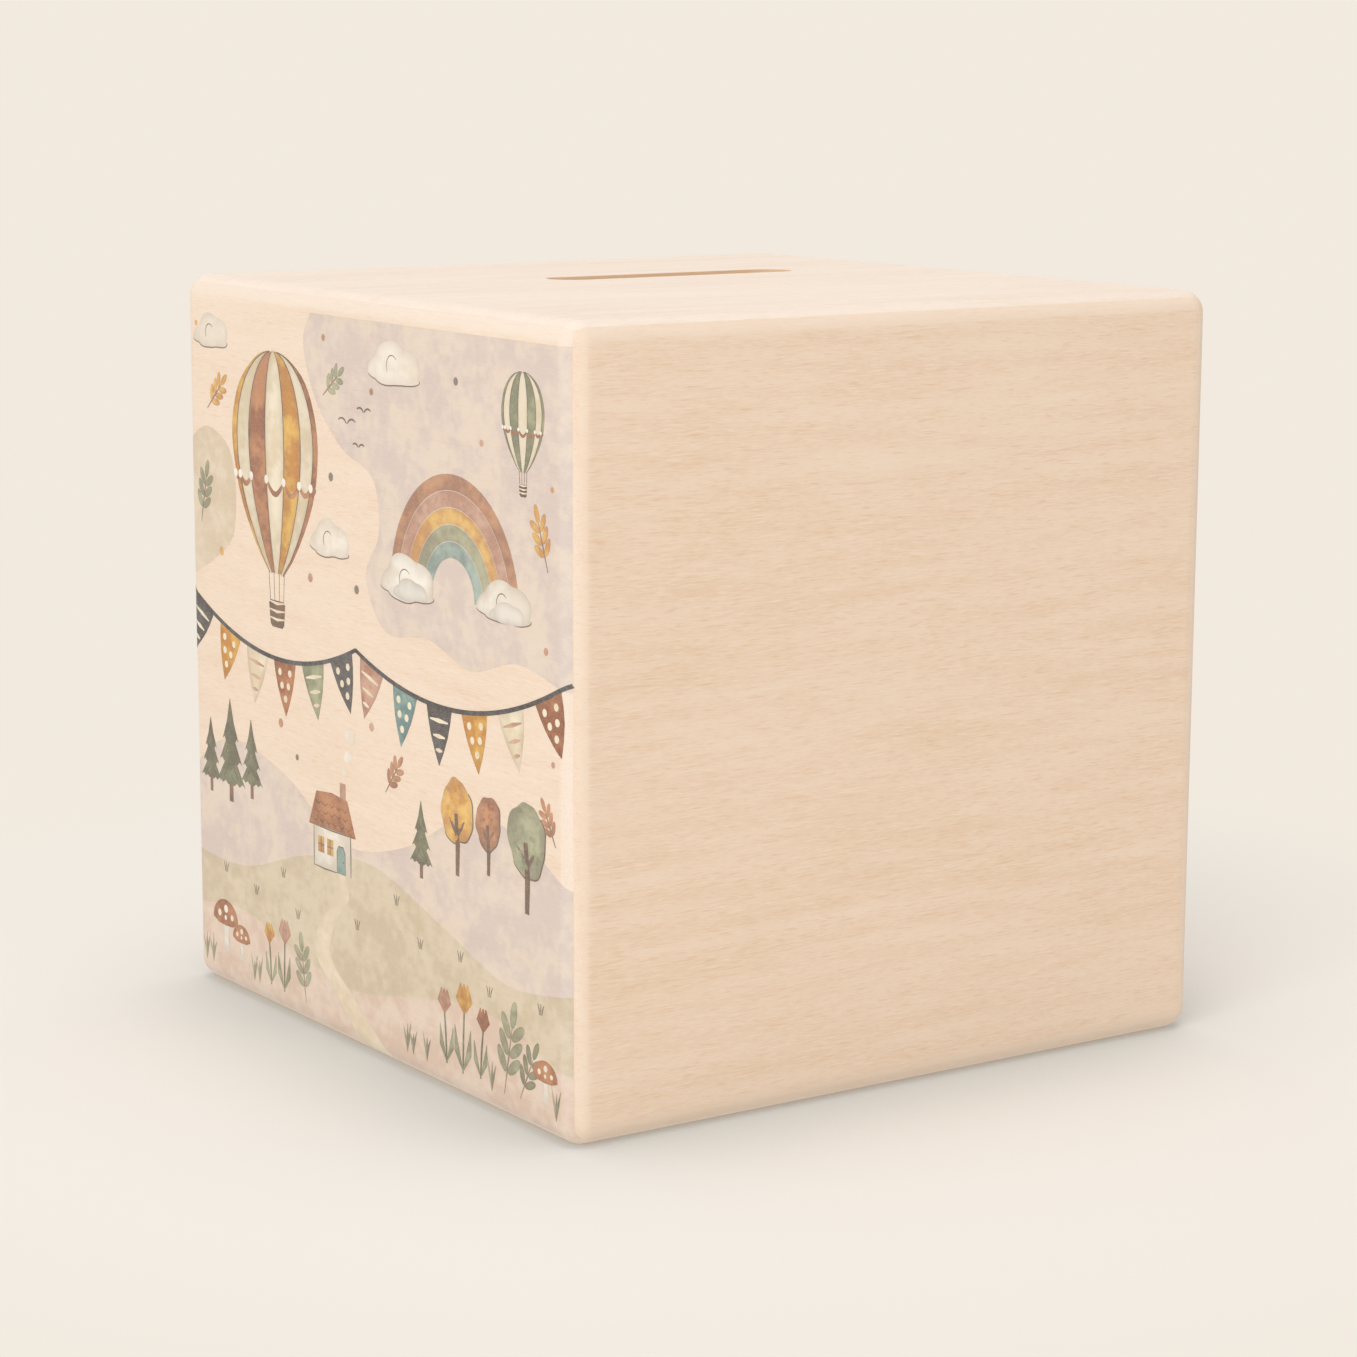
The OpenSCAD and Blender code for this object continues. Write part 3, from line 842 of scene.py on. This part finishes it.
def fir(patches, x, z, high):
    """A fir of three tiers with ragged hems on a short trunk."""
    paint(patches, stroke([(x, z - 0.6), (x, z + 0.3 * high)], 0.09 * high, 0.9), "brown", 0.85, 3, 0)
    for tier, (low, top, wide) in enumerate(((0.14, 0.62, 0.30), (0.36, 0.82, 0.235), (0.58, 1.0, 0.165))):
        hem = []
        for i in range(11):
            s = i / 10
            drop = (0.035 if i % 2 else 0.0) * high - 0.02 * high * math.sin(math.pi * s)
            hem.append(Vector((x - wide * high + 2 * wide * high * s, z + low * high + drop)))
        waist, waist_z = wide * high * 0.42, z + (low + (top - low) * 0.45) * high
        sides = [Vector((x + waist, waist_z)), Vector((x, z + top * high)), Vector((x - waist, waist_z))]
        paint(patches, hem + sides, "fir", 0.88, 4 + tier)
        for side in (-1, 1):
            stem = Vector((x + side * 0.03 * high, z + (low + 0.2) * high))
            twig = Vector((x + side * 0.5 * wide * high, z + (low + 0.06) * high))
            pen_line(patches, [stem, stem.lerp(twig, 0.5), twig], 7, 0.16)


def round_tree(patches, x, z, high, ink):
    """A tree with a forked trunk, a loose round crown and a few dabs for leaves."""
    trunk = [(x, z - 0.5), (x + 0.01 * high, z + 0.3 * high), (x - 0.02 * high, z + 0.62 * high)]
    paint(patches, stroke(trunk, 0.085 * high, 0.8), "brown", 0.88, 5, 0)
    for side in (-1, 1):
        fork = [(x + side * a * high, z + b * high) for a, b in ((0, 0.36), (0.08, 0.48), (0.15, 0.56))]
        paint(patches, stroke(fork, 0.045 * high + 0.1), "brown", 0.85, 5, 0)
    crown = hand_drawn(oval(x, z + 0.64 * high, 0.31 * high, 0.36 * high, 0, 44), 0.022 * high)
    paint(patches, crown, ink, 0.82, 4)
    pen_line(patches, crown[27:] + crown[:6], 7, 0.18)
    for _ in range(9):
        turn, reach = brush.uniform(0, 6.28), brush.uniform(0.3, 0.8)
        leaf_x = x + 0.31 * high * reach * math.cos(turn)
        leaf_z = z + 0.64 * high + 0.36 * high * reach * math.sin(turn)
        leaf = oval(leaf_x, leaf_z, 0.045 * high, 0.025 * high, brush.uniform(0, 180), 12)
        paint(patches, leaf, ink, 0.95, 6, 1)


trees = []
for x, z, high in ((-44.0, 28.5, 10.0), (-38.0, 28.0, 14.0), (-31.8, 29.5, 10.5)):
    fir(trees, x, z, high)
for x, z, high, ink in ((23.5, 29.5, 12.0, "gold"), (31.0, 31.0, 9.5, "clay"), (40.0, 28.0, 13.5, "sage")):
    round_tree(trees, x, z, high, ink)
fir(trees, 14.5, 27.5, 9.5)
ink_piece("ink_trees", trees)


# Cottage. A white cottage with a tiled roof on the near hill, with smoke over its
# chimney and a pale lane down to the board's lower edge.

cottage = []
home_x, home_z = -9.0, 23.2


def at_home(points):
    """Points measured from the middle of the cottage's doorstep."""
    return [Vector((home_x + x, home_z + z)) for x, z in points]


bends = [(-6.6, 23.6), (-6.0, 20), (-10.5, 16), (-12, 11), (-5, 6), (2, PRINT_LOW)]
path = smooth_line(bends, steps=8)
lane = [p - Vector((0.9 + 0.11 * (23 - p.y), 0)) for p in path]
lane += [p + Vector((0.9 + 0.13 * (23 - p.y), 0)) for p in reversed(path)]
paint(cottage, lane, "cream", 0.7, 3, 0.6)
paint(cottage, at_home([(-5, 0), (5, 0), (5, 6.2), (0, 6.6), (-5, 6.2)]), "white", 0.92, 4)
paint(cottage, at_home([(-6.3, 5.6), (6.3, 5.6), (4.2, 10.2), (0, 10.6), (-4.2, 10.2)]), "clay", 0.9, 6)
penned_edges = (
    [(-5, 5.4), (-5.05, 2.5), (-5, 0)],
    [(5, 5.4), (5.05, 2.5), (5, 0)],
    [(-6.3, 5.55), (0, 5.45), (6.3, 5.55)],
    [(-5, 0), (-2, -0.1), (1.2, 0)],
    [(1.3, 0), (1.3, 2.9), (1.8, 3.7), (3.0, 3.7), (3.5, 2.9), (3.5, 0)],
)
for edge in penned_edges:
    pen_line(cottage, at_home(edge), 7, 0.18)
for row, count in ((6.6, 6), (7.8, 5), (9.0, 5)):
    for i in range(count):
        x = (i - (count - 1) / 2) * 1.8
        tile = at_home([(x - 0.75, row), (x, row - 0.45), (x + 0.75, row)])
        paint(cottage, stroke(tile, 0.22), "brown", 0.9, 7, 0)
paint(cottage, at_home([(2.3, 9.2), (3.8, 9.2), (3.8, 12.4), (2.3, 12.4)]), "rose", 0.9, 5)
for x, z, size in ((3.6, 14.0, 0.8), (4.6, 16.2, 1.1), (5.2, 19.0, 1.4)):
    puff = hand_drawn(oval(home_x + x, home_z + z, size, 0.8 * size, 20), 0.08)
    paint(cottage, puff, "white", 0.6, 3, 0.5)
door = [(1.4, 0), (3.4, 0), (3.4, 2.9), (2.9, 3.6), (1.9, 3.6), (1.4, 2.9)]
paint(cottage, at_home(door), "sky", 0.92, 5)
paint(cottage, oval(home_x + 3.0, home_z + 1.7, 0.16, 0.16, 0, 10), "brown", 0.9, 6, 0)
for left in (-3.9, -1.4):
    pane = [(left, 2.0), (left + 1.7, 2.0), (left + 1.7, 4.2), (left, 4.2)]
    paint(cottage, at_home(pane), "gold", 0.85, 5)
    for bar in ([(left + 0.85, 2.0), (left + 0.85, 4.2)], [(left, 3.1), (left + 1.7, 3.1)]):
        paint(cottage, stroke(at_home(bar), 0.2, 1.0), "brown", 0.8, 6, 0)
ink_piece("ink_cottage", cottage)


# Meadow. Toadstools, tulips, grass and leaf sprigs along the foot, and the small things
# that are printed last: sprigs at the sides, three birds, and dabs in the sky.

def toadstool(patches, x, z, high):
    """A toadstool with a domed cap and pale spots."""
    stem = [(x, z), (x + 0.03 * high, z + 0.35 * high), (x, z + 0.7 * high)]
    paint(patches, stroke(stem, 0.28 * high, 0.85), "white", 0.92, 5)
    dome = [math.pi * i / 20 for i in range(21)]
    cap = [Vector((x + 0.52 * high * math.cos(a), z + 0.6 * high + 0.42 * high * math.sin(a))) for a in dome]
    cap += [Vector((x + a * high, z + b * high)) for a, b in ((-0.3, 0.52), (0, 0.5), (0.3, 0.52))]
    paint(patches, cap, "clay", 0.9, 6)
    for a, b, size in ((-0.25, 0.72, 0.07), (0.02, 0.84, 0.08), (0.27, 0.7, 0.06), (0.0, 0.66, 0.05)):
        spot = oval(x + a * high, z + b * high, size * high, size * high, 0, 14)
        paint(patches, spot, "white", 0.92, 7, 0)


def tulip(patches, x, z, high, ink, lean):
    """A tulip with three petals, a stem and two long leaves."""
    head_x, head_z = x + lean, z + 0.72 * high
    stem = [(x, z), (x + 0.4 * lean, z + 0.4 * high), (head_x, head_z)]
    paint(patches, stroke(stem, 0.42, 0.8), "fir", 0.85, 5, 0)
    for side in (-1, 1):
        leaf = [(x + side * a * high, z + b * high) for a, b in ((0, 0.02), (0.13, 0.25), (0.17, 0.52))]
        paint(patches, stroke(leaf, 0.11 * high, 0.1), "sage", 0.85, 5)
    for side, width, layer in ((-1, 0.15, 6), (1, 0.15, 6), (0, 0.17, 7)):
        rise = ((0.02, -0.02), (0.1, 0.13), (0.07, 0.3))
        petal = [(head_x + side * a * high, head_z + b * high) for a, b in rise]
        paint(patches, stroke(petal, width * high, 0.15), ink, 0.88, layer)


def sprig(patches, x, z, size, turn, ink):
    """A sprig with three pairs of leaves and one at its tip."""
    c, s = math.cos(math.radians(turn)), math.sin(math.radians(turn))
    twig = [(x + share * size * c, z + share * size * s) for share in (0, 0.55, 1)]
    paint(patches, stroke(twig, 0.3), "brown", 0.75, 4, 0)
    for share, side in ((0.3, -1), (0.3, 1), (0.55, -1), (0.55, 1), (0.8, -1), (0.8, 1), (1.1, 0)):
        lean = math.radians(turn + 42 * side)
        reach = 0.24 * size if side else 0.1 * size
        leaf_x = x + share * size * c + reach * math.cos(lean)
        leaf_z = z + share * size * s + reach * math.sin(lean)
        leaf = oval(leaf_x, leaf_z, 0.2 * size, 0.085 * size, turn + 42 * side, 18)
        paint(patches, leaf, ink, 0.82, 5)


meadow = []
for x, z, high in ((-40.5, 5.5, 7.2), (-35.8, 5.0, 5.0), (44.0, 4.5, 5.4)):
    toadstool(meadow, x, z, high)
tulips = (
    (20.5, 4.0, 9.5, "rose", -0.5), (24.5, 3.6, 11.5, "gold", 0.4), (28.8, 4.0, 9.0, "clay", 0.7),
    (-27.0, 3.6, 8.5, "gold", -0.4), (-23.2, 3.4, 10.0, "rose", 0.3),
)
for x, z, high, ink, lean in tulips:
    tulip(meadow, x, z, high, ink, lean)
sprigs = (
    (34.5, 3.5, 9.0, 78, "sage"), (38.2, 3.8, 6.5, 62, "fir"), (-17.0, 3.2, 7.0, 98, "sage"),
    (-45.5, 66.0, 6.5, 75, "sage"), (-43.0, 82.0, 5.5, 40, "gold"), (45.0, 70.0, 6.0, 110, "gold"),
    (-9.8, 86.5, 5.0, 35, "sage"), (46.5, 37.0, 4.6, 120, "clay"), (5.5, 36.5, 5.0, 50, "clay"),
)
for x, z, size, turn, ink in sprigs:
    sprig(meadow, x, z, size, turn, ink)
for x in (-46.5, -44.5, -32.0, -30.5, 10.5, 12.0, 15.5, 31.5, 46.5):
    for lean in (-1.1, 0.1, 1.0):
        blade = [(x, 3.0), (x + 0.4 * lean, 5.0), (x + lean, 6.6 + brush.uniform(-0.7, 0.9))]
        paint(meadow, stroke(blade, 0.5, 0.1), "fir" if lean > 0 else "sage", 0.75, 4, 0)
tufts = (
    (-40, 17), (-31, 15.5), (-23, 19.5), (-19, 14.5), (8, 22),
    (14, 17.5), (24, 18), (31, 15), (43, 15.5), (-2.5, 16.5),
)
for x, z in tufts:
    for lean in (-0.5, 0.05, 0.6):
        blade = [(x + 0.5 * lean, z), (x + 0.7 * lean, z + 0.7), (x + 1.3 * lean, z + 1.4)]
        pen_line(meadow, blade, 4, 0.18)
for x, z, wing in ((-3.5, 82.5, 1.5), (1.0, 84.5, 1.2), (-0.5, 80.0, 1.0)):
    for side in (-1, 1):
        feathers = curl(x + side * wing * 0.9, z, wing, 90 + side * 55, 90 - side * 35)
        pen_line(meadow, feathers, 5, 0.22)
dabs = (
    (-46, 93.5), (-9.5, 94), (-8, 76), (-14, 62), (-39.5, 62.5), (3, 88), (24, 91), (30, 84),
    (46, 80), (44.5, 60.5), (-1.5, 62), (2, 44.5), (7.5, 38), (-23, 41), (-18.5, 37), (46, 47),
)
for i, (x, z) in enumerate(dabs):
    size = brush.uniform(0.35, 0.65)
    dab_ink = ("gold", "clay", "slate", "rose")[i % 4]
    paint(meadow, oval(x, z, size, size, 0, 12), dab_ink, 0.75, 2, 0)
ink_piece("ink_meadow", meadow)


# Stopper. A moulded plug of soft dark grey rubber with sealing ribs, pressed up into
# the hole in the base, and pulled out by the bar across its finger dish.

RUBBER, RUBBER_BLOOM = "#3f3b38", "#57524e"

# The mould's grain is about 0.38 mm across, and the clouds of the rubber's bloom 11 mm.
GRAINS_PER_M, CLOUDS_PER_M = 2600.0, 90.0
MOULD_RELIEF, MOULD_STRENGTH = 0.00005, 0.35
RUBBER_IOR, RUBBER_ROUGHNESS = 1.52, (0.55, 0.75)


def soft_rubber():
    """Moulded soft rubber: nearly black, matt, with a fine spark-eroded mould grain."""
    material, tree = empty_material("moulded_soft_rubber")
    place = add(tree, "ShaderNodeTexCoord").outputs["Object"]
    grain = add(tree, "ShaderNodeTexNoise", {"Vector": place, "Scale": GRAINS_PER_M, "Detail": 2.0})
    bloom = add(tree, "ShaderNodeTexNoise", {"Vector": place, "Scale": CLOUDS_PER_M, "Detail": 3.0})
    colour = add(tree, "ShaderNodeMix", {
        "Factor": bloom, "A": linear(RUBBER), "B": linear(RUBBER_BLOOM),
    }, data_type="RGBA").outputs["Result"]
    bump = add(tree, "ShaderNodeBump", {
        "Height": grain, "Strength": MOULD_STRENGTH, "Distance": MOULD_RELIEF,
    })
    smoothest, roughest = RUBBER_ROUGHNESS
    rough = add(tree, "ShaderNodeMapRange", {"Value": bloom, "To Min": smoothest, "To Max": roughest})
    rubber = add(tree, "ShaderNodeBsdfPrincipled", {
        "Base Color": colour, "Roughness": rough, "Normal": bump, "IOR": RUBBER_IOR,
    })
    add(tree, "ShaderNodeOutputMaterial", {"Surface": rubber})
    return material


finish_node("stopper", soft_rubber())
